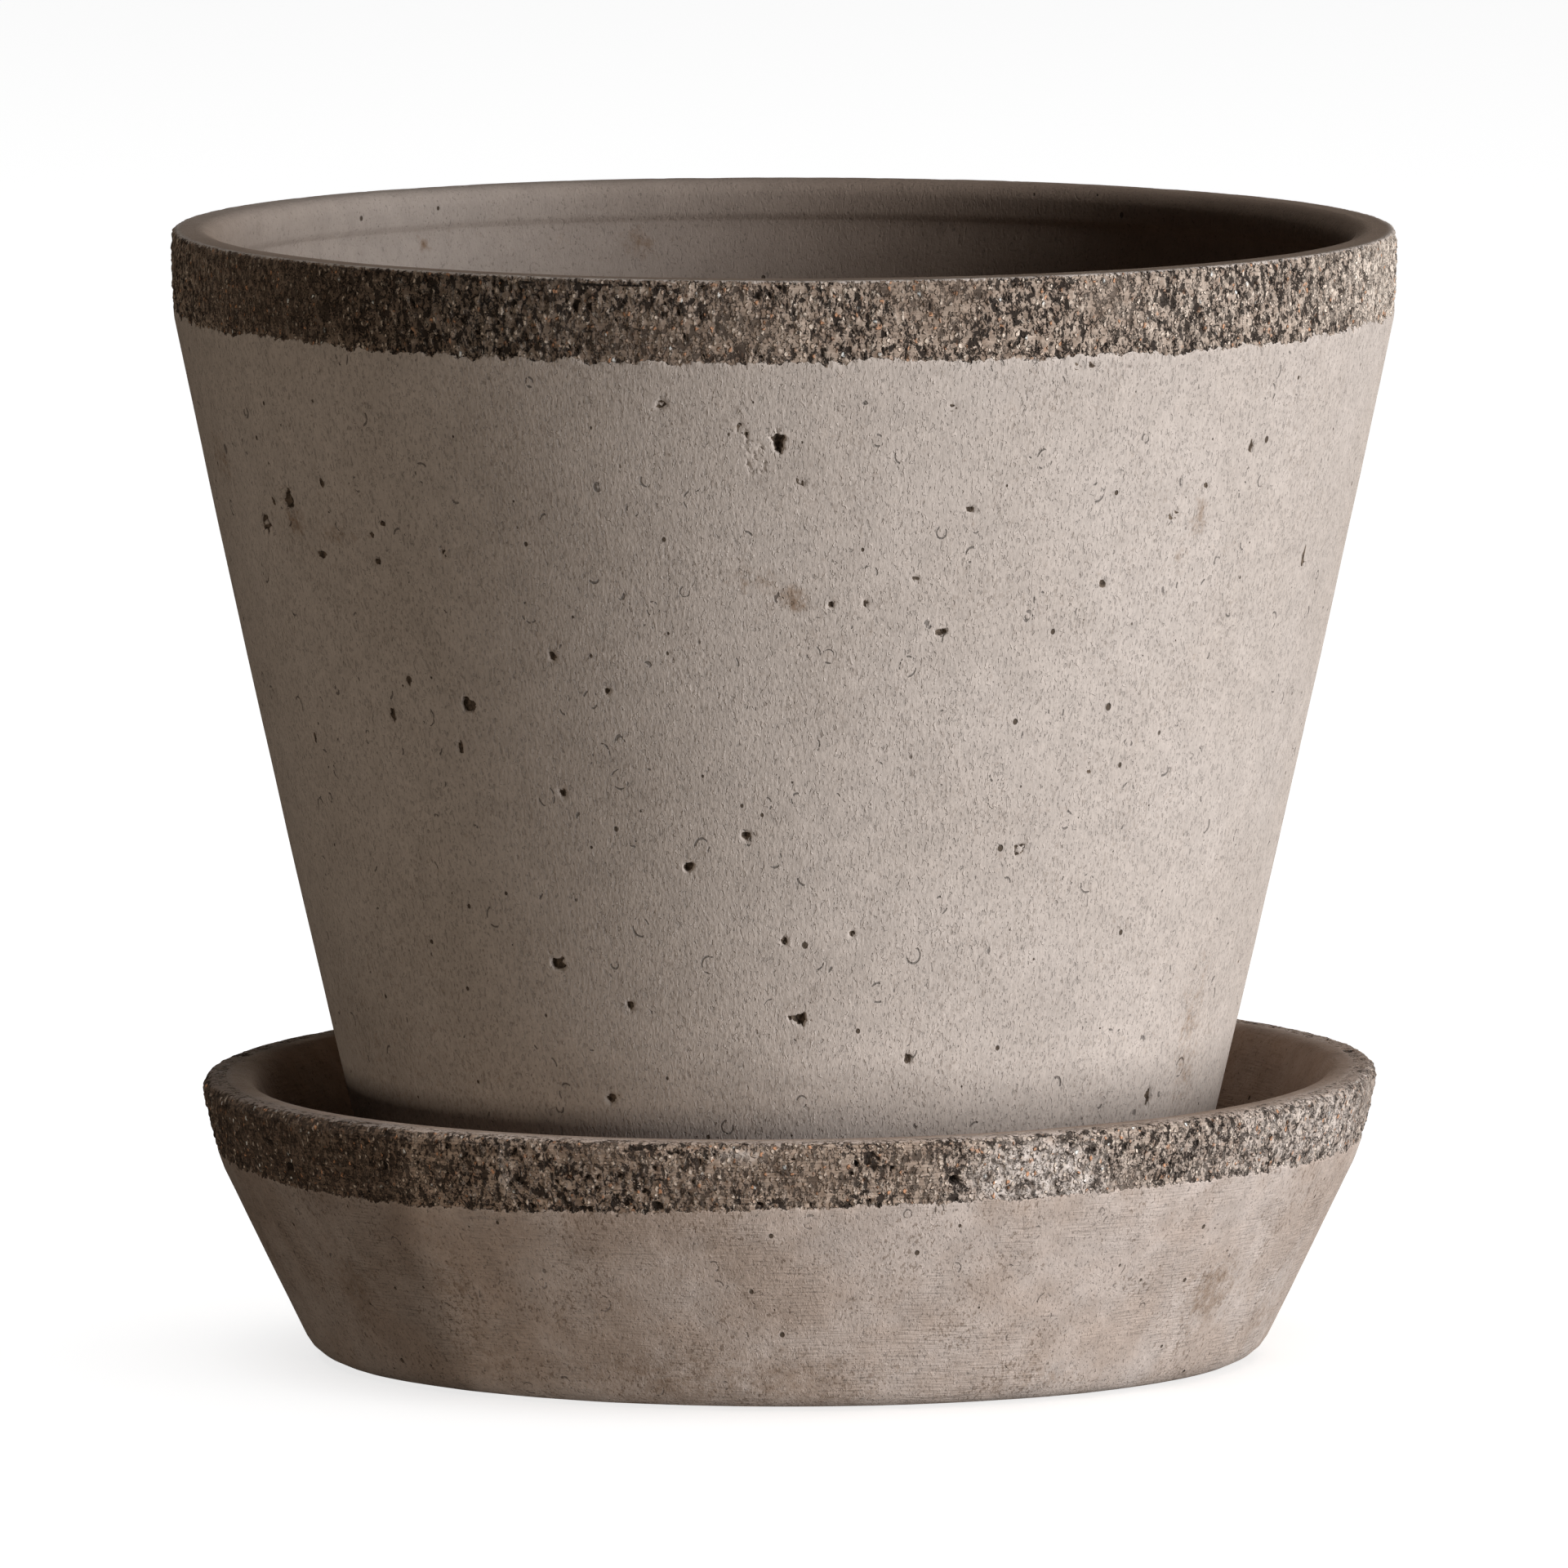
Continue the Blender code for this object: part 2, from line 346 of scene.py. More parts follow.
pot = {
    "columns": 176,  # blocks round the pot
    "band": 10.6,  # bare band's height below the lip
    "bandRadius": 79.95,  # at the band's lower edge
    "bandSink": 0.3,  # how far the torn clay lies below the skin
    "bandBow": 0.25,  # how far the band swells past a straight line
    "bandMargin": 1.0,  # how far the fine rows reach past the band
    "footRadius": 50.7,
    "bow": 0.54,  # how far the wall swells past a straight line
    "wall": 6.8,
    "lipWidth": 6.0,
    "lipDepth": 4.4,  # the thicker inside edge
    "lipStep": 0.7,
    "lipSlant": 1.1,  # how tall that step is
    "lipInset": 0.12,  # leaves room for the grit inside the CAD model's box
    "floor": 8.0,
    "recess": 1.8,
    "footRing": 11.5,
    "drain": 9.0,
    # (height, lump size, each coordinate's share, seed)
    "lowerEdge": [(0.6, 20, roundOnly, 31), (0.55, 3.2, upright, 32), (0.45, 1.1, even, 33)],
    "edgeBends": [],
    "lipEdge": 0.1,  # where the band ends below the top
    "upperEdge": [(0.12, 3.0, roundOnly, 34)],
    "swell": [(0.05, 19, even, 41), (0.02, 6, even, 42)],
    # the torn clay: grain, slot and scrape are the sizes of their lumps, and tall is how much taller
    # than wide they are; a grain is cream or rust by the random number that belongs to it
    "grit": {
        "seed": 11, "tall": 1.4, "grain": 0.9, "grainHeight": 0.4, "slot": 0.66,
        "slotFrom": (0.48, 0.75), "slotDepth": 0.5, "scrape": 0.34, "scrapeHeight": 0.05,
        "creamFrom": 0.62, "rustShare": 0.07,
        "worn": [(-58, 143, 16, 9, 0.9), (-12, 140, 9, 3, 0.7), (150, 143, 14, 9, 0.8)],
    },
    # a torn groove close under the lip: its place, what frays it, where it is painted dark as shade and
    # its depth
    "torn": (-18, 147.1, 12, 0.35, 1.0),
    "tornFray": [(0.5, 1.8, (1, 1, 0.4), 35)],
    "tornFrom": (0.6, 0.9),
    "tornDepth": 0.3,
    # what follows is (degrees round from the front, height, width in degrees, tall, strength)
    "stains": [
        (1.0, 106.4, 1.6, 1.8, 0.9), (-2.5, 108.4, 2.4, 1.6, 0.6), (-10.0, 110, 2.6, 1.0, 0.5),
        (45.4, 115, 1.2, 2.6, 0.65), (43.6, 110, 1.2, 2.6, 0.55), (-57.5, 113.4, 2.0, 2.0, 0.7),
        (-50, 112, 5.0, 1.4, 0.4), (-74, 120, 3.0, 4.0, 0.6), (62, 47, 2.4, 9.0, 0.55),
        (65, 38, 3.4, 4.0, 0.4), (-62, 44, 20.0, 13.0, 0.2), (140, 70, 10.0, 12.0, 0.4),
        (205, 95, 4.0, 5.0, 0.6), (260, 50, 9.0, 9.0, 0.4),
    ],
    "insideStains": [
        (195.2, 140, 1.4, 1.3, 1.1), (220, 141, 0.5, 0.6, 1.4), (204, 141, 0.7, 0.7, 0.8),
    ],
    "smearsAndLitSide": [  # pale smears on the band; the wide one on the right is painted light on its lit side
        (86, 143, 24, 9, 1.4), (40, 143, 10, 9, 0.25), (-28, 143, 8, 9, 0.2), (250, 143, 10, 9, 0.3),
    ],
    "paintedShade": [  # painted shade: darker stretches of the skin, darkest towards the foot on the left
        (-60, 24, 30, 18, 1.0), (-66, 46, 26, 18, 0.4), (34, 50, 9, 7, 0.24), (46, 33, 9, 6, 0.2),
    ],
    "paintedBandShade": [  # painted shade: darker stretches of the band, most on its shadowed left side
        (-46, 143, 22, 12, 0.95), (-26, 143, 12, 12, 0.5), (160, 143, 30, 12, 0.7),
    ],
    "raked": (1, 0.25),  # how much the brush marks show outside and inside
    "paintedInnerLight": (-136, 44, 0.74),  # painted light: the inside is kept paler where the lamp reaches its wall: degrees, width, strength
    "wallSlope": 0.976,  # the wall's height for each millimetre along it
    "pitsAbove": 20,  # pits lie above this height only
    "strewn": {"count": 16, "lowest": 30, "highest": 130, "first": 75, "last": 285, "seed": 5},
    # pits placed one by one: degrees round from the front, height, width, tall, depth, plug
    "pits": [
        (-0.6, 127.0, 1.5, 2.6, 1.0, 0), (-3.0, 126.3, 2.2, 2.0, 0.3, 0.8),
        (-4.0, 128.6, 1.3, 1.6, 0.4, 0.6), (-11.6, 131.7, 1.1, 1.3, 0.5, 0.5),
        (-58.5, 116.0, 2.6, 3.0, 1.0, 0), (-64.5, 112.2, 2.8, 2.3, 0.9, 0.3),
        (-61.6, 115.4, 1.1, 1.0, 0.5, 0), (-54.0, 109.1, 1.5, 1.3, 0.7, 0),
        (-45.2, 109.1, 1.2, 1.0, 0.7, 0), (-45.5, 112.6, 0.9, 0.9, 0.5, 0),
        (-43.7, 114.2, 1.1, 0.8, 0.5, 0), (-52.0, 118.8, 0.9, 1.4, 0.5, 0),
        (-36.1, 111.0, 0.8, 1.0, 0.5, 0.4), (-46.8, 88.8, 1.2, 1.8, 0.7, 0),
        (-43.5, 93.6, 0.9, 1.3, 0.5, 0), (-35.7, 91.0, 1.8, 1.8, 0.9, 0),
        (-37.4, 85.4, 0.9, 1.5, 0.5, 0), (-25.0, 80.0, 0.9, 0.9, 0.5, 0),
        (-18.8, 93.8, 0.8, 0.9, 0.5, 0), (-24.6, 98.0, 0.8, 1.4, 0.4, 0),
        (-28.0, 57.2, 1.9, 1.8, 1.0, 0), (-10.9, 70.8, 1.5, 1.2, 0.8, 0),
        (-4.2, 75.0, 1.1, 1.1, 0.7, 0), (2.0, 50.6, 1.9, 1.4, 0.9, 0),
        (15.6, 45.0, 0.9, 1.5, 0.5, 0), (-19.0, 52.0, 0.8, 0.9, 0.5, 0),
        (-22.6, 39.6, 1.4, 1.0, 0.6, 0), (16.2, 101.6, 1.6, 1.0, 0.7, 0),
        (13.4, 108.6, 1.0, 1.0, 0.4, 0.4), (18.4, 117.8, 1.1, 0.9, 0.5, 0),
        (16.0, 131.2, 1.0, 1.0, 0.4, 0.5), (4.8, 105.6, 0.9, 0.9, 0.5, 0),
        (8.2, 105.6, 0.8, 0.7, 0.5, 0), (51.6, 123.6, 0.9, 1.7, 0.5, 0),
        (66.5, 107.4, 1.1, 2.4, 0.4, 0), (27.4, 72.4, 1.6, 1.5, 0.4, 0.6),
        (35.4, 82.2, 0.8, 0.7, 0.5, 0), (55.0, 37.4, 1.1, 2.0, 0.7, 0),
        (0.0, 61.0, 0.8, 0.9, 0.5, 0), (8.0, 62.0, 0.7, 0.9, 0.4, 0),
        (-63.0, 84.0, 0.9, 1.8, 0.5, 0), (34.0, 107.0, 1.0, 0.9, 0.5, 0),
        (-2.6, 123.9, 2.4, 2.0, 0.4, 0.8), (1.5, 121.8, 0.9, 1.6, 0.4, 0.6),
        (29.9, 135.9, 1.0, 0.7, 0.5, 0), (28.3, 135.9, 1.2, 1.2, 0.35, 0.6),
        (45.8, 119.0, 0.8, 0.7, 0.4, 0), (41.9, 115.5, 1.3, 1.4, 0.4, 0.6),
    ],
    "finestPit": 1.5,  # pits at least this wide get the finest grid
}


def strewnPits(count, lowest, highest, first, last, seed):
    # more pits at random on the sides that no pit was placed on; width is 0.8 + a random number to
    # the power 2.5, so most are small, and one in four has a plug
    draw = np.random.default_rng(seed)
    across = 0.8 + 1.0 * draw.random(count) ** 2.5
    columns = [
        first + (last - first) * draw.random(count),
        lowest + (highest - lowest) * draw.random(count),
        across,
        across * (0.8 + 0.6 * draw.random(count)),
        0.3 + 0.4 * across * draw.random(count),
        0.6 * (draw.random(count) < 0.25),
    ]
    return list(zip(*columns))


def pitRelief(points, angle, pits, slope):
    # each pit is a flat-bottomed dent, deep where the distance from its middle, in half widths, is
    # below 0.6 and gone at 1.2; noise makes its edge uneven, and a plug fills that share of its middle
    # gives the depth in millimetres and 0 to 1 for how much painted shade the point gets in the pit
    radius = np.hypot(points[:, 0], points[:, 1])
    uneven = 1 + waves(points, [(0.5, 0.9, even, 71), (0.3, 0.4, even, 72)])
    depth, shadeShare = np.zeros(len(points)), np.zeros(len(points))
    for turn, height, width, tall, deep, plug in pits:
        around = np.radians(apart(angle, turn)) * radius
        along = (points[:, 2] - height) / slope
        reach = np.hypot(around / (width / 2), along / (tall / 2)) * uneven
        inside = (1 - rise(reach, 0.6, 1.2)) * (1 - rise(plug - reach, -0.15, 0.15))
        depth = np.maximum(depth, deep * inside)
        shadeShare = np.maximum(shadeShare, inside)
    return depth, shadeShare


def refineAt(levels, blockPlace, pits, level, least):
    # lowers the level of every block whose middle is within half a pit plus half a block of that
    # pit's middle, for pits at least that wide; blockPlace is (radius, height) of each block row
    middle = (np.arange(levels.shape[1]) + 0.5) * 360 / levels.shape[1] + 90
    halfBlock = 1.15
    for turn, height, width, tall, *_ in pits:
        if width < least:
            continue
        around = np.radians(apart(middle, turn))[None] * blockPlace[:, :1]
        along = blockPlace[:, 1:] - height
        near = (abs(around) < width / 2 + halfBlock) & (abs(along) < tall / 2 + halfBlock)
        levels = np.where(near, np.minimum(levels, level), levels)
    return levels


def potCorners():
    # the outline, down the outside, in under the foot, up through the drain hole and up the inside
    top = potHigh.z * metre
    under = potLow.z * metre
    floor, recess, foot = under + pot["floor"], under + pot["recess"], pot["footRadius"]
    lipRadius = potHigh.x * metre - pot["lipInset"]
    bandFoot = top - pot["band"]
    wallRun = (bandFoot - under) / (pot["bandRadius"] - foot)
    fineFoot = (pot["bandRadius"] - pot["bandMargin"] / wallRun, bandFoot - pot["bandMargin"])
    innerFoot = foot + pot["floor"] / wallRun - pot["wall"]
    ring = foot - pot["footRing"]
    inner = lipRadius - pot["lipWidth"]
    innerEdge = top - pot["lipDepth"]
    return [
        {"at": (lipRadius, top), "round": 0.7, "arc": 1, "arcLevel": 2, "side": 3, "level": 1,
         "bow": pot["bandBow"]},
        {"at": fineFoot, "side": 46, "level": 4, "bow": pot["bow"]},
        {"at": (foot, under), "round": 2.0, "arc": 1, "arcLevel": 3, "side": 3, "level": 4},
        {"at": (ring, under), "side": 1, "level": 4},
        {"at": (ring - pot["recess"], recess), "side": 8, "level": 4},
        {"at": (pot["drain"], recess), "round": 1.0, "arc": 1, "arcLevel": 3, "side": 1, "level": 4},
        {"at": (pot["drain"], floor), "round": 1.0, "arc": 1, "arcLevel": 3, "side": 8, "level": 4},
        {"at": (innerFoot, floor), "round": 8.0, "arc": 3, "arcLevel": 4, "side": 42, "level": 4,
         "bow": -pot["bow"]},
        {"at": (inner + pot["lipStep"], innerEdge - pot["lipSlant"]), "side": 1, "level": 3},
        {"at": (inner, innerEdge), "round": 1.2, "arc": 1, "arcLevel": 3, "side": 1, "level": 4},
        {"at": (inner, top), "round": 2.0, "arc": 1, "arcLevel": 3, "side": 2, "level": 3},
    ]


def makePot():
    # the outline turned about Z, pushed along its own outward direction by the relief
    rowPlace, rowLevels = outlineRows(potCorners(), True)
    rowNormal = outlineNormals(rowPlace, True)
    foot = np.argmin(rowPlace[:, 1])
    levels = np.repeat(rowLevels[:, None], pot["columns"], 1)
    blockPlace = rowPlace[blockSteps // 2::blockSteps]
    pits = pot["pits"] + strewnPits(**pot["strewn"])
    fine = refineAt(levels, blockPlace, pits, 1, 0)
    fine = refineAt(fine, blockPlace, pot["pits"], 0, pot["finestPit"])
    inner = np.arange(len(blockPlace)) > foot / blockSteps
    levels = evenOut(np.where(inner[:, None], levels, fine), True)
    column, row, quads, fans = gridFaces(levels, True)
    points, outward, angle = turnAbout(rowPlace, rowNormal, column, row, pot["columns"])

    top = potHigh.z * metre
    outside = row < foot
    height = points[:, 2]
    bare = np.where(outside, insideBand(points, angle, top, pot), farFromBand)
    inBand = rise(bare, *bandBlend)
    onSkin = 1 - inBand
    grit, slot, worn, cream, rust = gritRelief(points, angle, pot["grit"])
    torn = patches(angle, height, [pot["torn"]])
    # the torn groove takes the slots' painted shade
    slot = np.maximum(slot, rise(torn + waves(points, pot["tornFray"]), *pot["tornFrom"]))
    depth, shadeShare = pitRelief(points, angle, pits, pot["wallSlope"])
    onWall = outside & (height > pot["pitsAbove"])
    relief = inBand * (grit - pot["bandSink"] - pot["tornDepth"] * torn)
    relief += onSkin * (waves(points, pot["swell"]) - onWall * depth)
    points = points + outward * relief[:, None]
    points[:, 2] = np.clip(points[:, 2], potLow.z * metre, top)

    spots = ("stains", "insideStains", "smearsAndLitSide", "paintedBandShade", "paintedShade")
    stains, insideStains, smearsAndLitSide, paintedBandShade, paintedShade = [patches(angle, height, pot[name]) for name in spots]
    # painted shade over the inside of the pot, lighter where the lamp reaches the inside wall
    turn, wide, strength = pot["paintedInnerLight"]
    piece = putMesh("turned_pot", points, quads, fans, {
        "bare": bare,
        "worn": worn,
        "slot": slot,
        "cream": cream,
        "rust": rust,
        # painted shade in the pits
        "pit": onWall * shadeShare * onSkin,
        "stain": np.where(outside, stains, insideStains),
        "smearAndLight": outside * smearsAndLitSide,
        "raked": np.where(outside, *pot["raked"]),
        "inner": np.where(outside, 0, 1 - strength * hump(angle, turn, wide)),
        # painted shade: on the band and on the skin
        "paintedShade": outside * np.where(inBand > 0.5, paintedBandShade, paintedShade),
    })
    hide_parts("pot")
    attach(piece, "pot")
    return piece


saucer = {
    "columns": 192,
    "band": 9.2,
    "bandSink": 0.3,
    "bandBow": 0.25,
    "bandMargin": 2.4,
    "baseRadius": 61.75,
    "splay": 0.503,  # outward run of the wall for each unit of height
    "lipWidth": 6.8,
    "lipOutset": 0.8,  # how far the lip stands out past the CAD node's
    "floor": 7.0,
    "recess": 1.2,
    "baseRing": 14.0,
    "poleRing": 1.0,  # radius of the ring of points round each pole
    "calmFloor": (2, 12),  # radii between which the relief sets in
    "tilt": 0.8,  # how far the rim leans up to the right, and down to the left
    "rearLift": 2.0,  # how much higher the rim is at the back than at the front
    "shift": 0.4,  # how far the saucer stands to the right of the pot's middle
    "rimShift": 0.35,  # and how much farther its rim does
    "lowerEdge": [(0.35, 3.2, upright, 61), (0.25, 0.9, even, 62)],
    "edgeBends": [(-42, 30, -1.0), (30, 45, 1.0)],  # degrees, width, lift
    "lipEdge": 0.06,
    "upperEdge": [(0.14, 3.5, roundOnly, 63)],
    "swell": [(0.05, 15, even, 64), (0.02, 5, even, 65)],
    "grit": {
        "seed": 51, "tall": 1.2, "grain": 0.88, "grainHeight": 0.3, "slot": 0.8,
        "slotFrom": (0.46, 0.72), "slotDepth": 0.6, "scrape": 0.3, "scrapeHeight": 0.1,
        "creamFrom": 0.72, "rustShare": 0.06,
        "worn": [(-60, 31, 22, 8, 0.8), (170, 31, 20, 8, 0.7)],
    },
    # holes in the band: their noise, the limits between which it becomes a hole, and their depth
    "holes": [(1.0, 3.4, even, 66), (0.25, 1.0, even, 67)],
    "holeFrom": (0.62, 0.8),
    "holeDepth": 0.5,
    "stains": [
        (-39, 15, 4, 8, 0.5), (-36, 5, 9, 3, 0.4), (54, 12.5, 5.0, 5.0, 0.85), (0, 4, 16, 5, 0.5),
        (-18, 4, 8, 4, 0.4), (20, 11, 7, 2, 0.2), (-55, 14, 5, 7, 0.6), (6, 20, 5, 3, 0.2),
        (72, 8, 6, 7, 0.5), (30, 3.5, 9, 2.6, 0.5), (120, 14, 12, 8, 0.6), (165, 8, 10, 6, 0.5),
        (215, 18, 9, 7, 0.5), (262, 10, 12, 7, 0.6),
    ],
    # pale smears on the band; the wide one on the right is painted light on its lit side
    "smearsAndLitSide": [
        (-28.8, 32.0, 0.7, 3.2, 0.9), (24.5, 30.6, 6.4, 5.0, 1.5), (66, 32.0, 24.0, 9.0, 0.7),
        (-4.8, 34.8, 2.0, 0.8, 0.8), (30, 29.0, 2.5, 1.2, 0.5), (118, 31.0, 2.0, 3.0, 0.6),
        (230, 32.0, 1.5, 3.0, 0.6),
    ],
    "raked": (0.7, 0.25),
    # painted shade over the saucer's inside, under the pot
    "innerShade": 0.6,
    "shadedSide": (39, 44, 110, 140),  # painted shade over the saucer's left side, in degrees round to the left: sets in, full, full, gone
}


def saucerCorners():
    # from the middle of the floor out, up the inside, down the outside and back in underneath
    top = saucerHigh.z * metre
    pole, floor, recess = saucer["poleRing"], saucer["floor"], saucer["recess"]
    lipRadius = saucerHigh.x * metre + saucer["lipOutset"]
    bandFoot = top - saucer["band"] - saucer["bandMargin"]
    base = saucer["baseRadius"]
    bandRadius = base + saucer["splay"] * bandFoot
    inner = lipRadius - saucer["lipWidth"]
    innerFoot = inner - saucer["splay"] * (top - floor)
    ring = base - saucer["baseRing"]
    return [
        {"at": (pole, floor), "side": 12, "level": 4},
        {"at": (innerFoot, floor), "round": 4.5, "arc": 2, "arcLevel": 4, "side": 10, "level": 4},
        {"at": (inner, top), "round": 2.2, "arc": 1, "arcLevel": 3, "side": 2, "level": 3},
        {"at": (lipRadius, top), "round": 1.3, "arc": 1, "arcLevel": 2, "side": 5, "level": 1,
         "bow": saucer["bandBow"]},
        {"at": (bandRadius, bandFoot), "side": 8, "level": 4},
        {"at": (base, 0), "round": 5.0, "arc": 2, "arcLevel": 3, "side": 4, "level": 4},
        {"at": (ring, 0), "side": 1, "level": 4},
        {"at": (ring - recess, recess), "side": 12, "level": 4},
        {"at": (pole, recess)},
    ]


def makeSaucer():
    # made as the pot is, and then its rim leans a little, as a rim pulled up by hand does
    rowPlace, rowLevels = outlineRows(saucerCorners(), False)
    rowNormal = outlineNormals(rowPlace, False)
    levels = evenOut(np.repeat(rowLevels[:, None], saucer["columns"], 1), False)
    column, row, quads, fans = gridFaces(levels, False)
    fans = closePoles(column, row, len(rowPlace) - 1, fans)
    points, outward, angle = turnAbout(rowPlace, rowNormal, column, row, saucer["columns"])

    top = saucerHigh.z * metre
    outside = row > np.argmax(rowPlace[:, 0]) - 2 * blockSteps
    height = points[:, 2]
    bare = np.where(outside, insideBand(points, angle, top, saucer), farFromBand)
    inBand = rise(bare, *bandBlend)
    grit, slot, worn, cream, rust = gritRelief(points, angle, saucer["grit"])
    hole = rise(waves(points, saucer["holes"]), *saucer["holeFrom"])
    # holes take the slots' painted shade
    slot = np.maximum(slot, hole)
    relief = inBand * (grit - saucer["bandSink"] - saucer["holeDepth"] * hole)
    relief += (1 - inBand) * waves(points, saucer["swell"])
    relief *= rise(rowPlace[row, 0], *saucer["calmFloor"])
    points = points + outward * relief[:, None]
    points[:, 2] = np.clip(points[:, 2], 0, top)
    lift = rise(points[:, 2], 0.5, top)
    across, back = points[:, 0] / (saucerHigh.x * metre), points[:, 1] / (saucerHigh.y * metre)
    points[:, 2] += lift * (saucer["tilt"] * across + saucer["rearLift"] * (1 + back) / 2)
    points[:, 0] += saucer["shift"] + lift * saucer["rimShift"]

    # painted shade over the saucer's left side
    leftward = apart(-angle, 0)
    setsIn, full, fades, gone = saucer["shadedSide"]
    paintedShade = rise(leftward, setsIn, full) * (1 - rise(leftward, fades, gone))
    marks = {
        "bare": bare,
        "worn": worn,
        "slot": slot,
        "cream": cream,
        "rust": rust,
        "pit": 0 * bare,
        "stain": outside * patches(angle, height, saucer["stains"]),
        "smearAndLight": outside * patches(angle, height, saucer["smearsAndLitSide"]),
        "raked": np.where(outside, *saucer["raked"]),
        "inner": np.where(outside, 0, saucer["innerShade"]),
        "paintedShade": outside * paintedShade,
    }
    poles = np.array([[saucer["shift"], 0, saucer["floor"]], [saucer["shift"], 0, saucer["recess"]]])
    for name, values in marks.items():
        marks[name] = np.append(values, [farFromBand if name == "bare" else 0.0] * len(poles))
    piece = putMesh("turned_saucer", np.concatenate([points, poles]), quads, fans, marks)
    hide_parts("saucer")
    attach(piece, "saucer")
    return piece


# lamps: turn and rise in degrees, far, wide and high in metres
studio = {
    "floorRadius": 6.0,
    "floorRings": 24,
    "floorSpokes": 96,
    "floorDrop": 0.2,  # millimetres below the saucer, so that the two don't meet
    "floorColour": 0.8,
    "floorGlow": 0.75,
    "worldGlow": 0.012,
    "key": {
        "turn": 61, "rise": 3, "far": 2.0, "wide": 1.1, "high": 1.8,
        "watts": 68, "colour": (0.96, 1.0, 1.04),
    },
    "lowFill": {
        "turn": -50, "rise": -4, "far": 2.0, "wide": 1.4, "high": 0.4,
        "watts": 9.9, "colour": (1.0, 0.9, 0.77),
    },
    "rearFill": {
        "turn": 172, "rise": -4, "far": 2.0, "wide": 1.0, "high": 0.8,
        "watts": 20, "colour": (1.0, 0.84, 0.68),
    },
    "lipTop": {
        "turn": 180, "rise": 78, "far": 2.0, "wide": 0.5, "high": 0.3,
        "watts": 8, "colour": (1, 1, 1),
    },
    "saucerTop": {
        "turn": -12, "rise": 79, "far": 2.0, "wide": 0.5, "high": 0.2,
        "watts": 16, "colour": (1, 1, 1),
    },
    "saucerFront": {
        "turn": -22, "rise": -8, "far": 2.0, "wide": 0.8, "high": 0.3,
        "watts": 3.4, "colour": (1, 0.85, 0.74),
    },
    "overhead": {
        "turn": 0, "rise": 90, "far": 3.0, "wide": 4.0, "high": 4.0,
        "watts": 60, "colour": (1, 1, 1),
    },
    "camera": {"far": 3.84, "rise": 5.97, "aim": 0.0748, "lens": 673.0, "sensor": 36, "clip": 30},
}


def standAt(item, far, turn, rise, aim):
    # puts an item on a sphere round the aim and turns it to face the aim
    # turn 0 is -Y and grows towards +X; rise is degrees above level
    across, up = math.radians(turn), math.radians(rise)
    item.location = (
        far * math.sin(across) * math.cos(up),
        -far * math.cos(across) * math.cos(up),
        aim + far * math.sin(up),
    )
    item.rotation_euler = (math.pi / 2 - up, 0, across)


def softBox(name, receivers):
    # a flat lamp that stands where the studio says, and lights these objects and nothing else
    box = studio[name]
    lamp = bpy.data.lights.new(name, "AREA")
    lamp.shape = "RECTANGLE"
    lamp.size, lamp.size_y = box["wide"], box["high"]
    lamp.energy = box["watts"]
    lamp.color = box["colour"]
    item = bpy.data.objects.new(name, lamp)
    item.visible_camera = False
    bpy.context.scene.collection.objects.link(item)
    standAt(item, box["far"], box["turn"], box["rise"], studio["camera"]["aim"])
    group = bpy.data.collections.new(name + " receivers")
    for receiver in receivers:
        group.objects.link(receiver)
    item.light_linking.receiver_collection = group


def makeFloor():
    # a round sheet: rings of points about the middle, whose radii grow as the square of even steps,
    # and a fan that closes the innermost
    ringCount, spokeCount = studio["floorRings"], studio["floorSpokes"]
    rings = np.linspace(0.02, 1, ringCount) ** 2 * studio["floorRadius"] * metre
    spokes = np.arange(spokeCount) * 2 * math.pi / spokeCount
    radius, turn = [part.ravel() for part in np.meshgrid(rings, spokes, indexing="ij")]
    level = np.full(len(turn), -studio["floorDrop"])
    points = np.stack([radius * np.cos(turn), radius * np.sin(turn), level], 1)
    count = np.meshgrid(np.arange(ringCount - 1), np.arange(spokeCount), indexing="ij")
    ring, spoke = [part.ravel() for part in count]
    after = (spoke + 1) % spokeCount
    near, far = ring * spokeCount, (ring + 1) * spokeCount
    quads = np.stack([near + spoke, far + spoke, far + after, near + after], 1)
    fan = np.arange(1, spokeCount - 1)
    floor = putMesh("studio_floor", points, quads, np.stack([0 * fan, fan, fan + 1], 1), {})
    paper = bpy.data.materials.new("white paper")
    paper.use_nodes = True
    shader = paper.node_tree.nodes["Principled BSDF"]
    shader.inputs["Base Color"].default_value = (*[studio["floorColour"]] * 3, 1)
    shader.inputs["Roughness"].default_value = 1.0
    shader.inputs["Specular IOR Level"].default_value = 0.0
    shader.inputs["Emission Color"].default_value = (1, 1, 1, 1)
    shader.inputs["Emission Strength"].default_value = studio["floorGlow"]
    floor.data.materials.append(paper)
    floor.visible_diffuse = False
    floor.visible_glossy = False
    floor.visible_shadow = False
    return floor


def makeStudio(potPiece, saucerPiece):
    # three soft boxes on the clay, small ones on the pot's lip and on the saucer, and an even light
    # from above that only the floor receives
    floor = makeFloor()
    for name in ("key", "lowFill", "rearFill"):
        softBox(name, [potPiece, saucerPiece])
    softBox("lipTop", [potPiece])
    for name in ("saucerTop", "saucerFront"):
        softBox(name, [saucerPiece])
    softBox("overhead", [floor])
    world = bpy.data.worlds.new("studio")
    bpy.context.scene.world = world
    world.use_nodes = True
    world.node_tree.nodes["Background"].inputs["Color"].default_value = (1, 1, 1, 1)
    world.node_tree.nodes["Background"].inputs["Strength"].default_value = studio["worldGlow"]
    view = studio["camera"]
    lens = bpy.data.cameras.new("camera")
    lens.lens = view["lens"]
    lens.sensor_width = view["sensor"]
    lens.clip_end = view["clip"]
    camera = bpy.data.objects.new("camera", lens)
    bpy.context.scene.collection.objects.link(camera)
    standAt(camera, view["far"], 0, view["rise"], view["aim"])
    bpy.context.scene.camera = camera
    bpy.context.scene.view_settings.view_transform = "Standard"
    print("studio set")


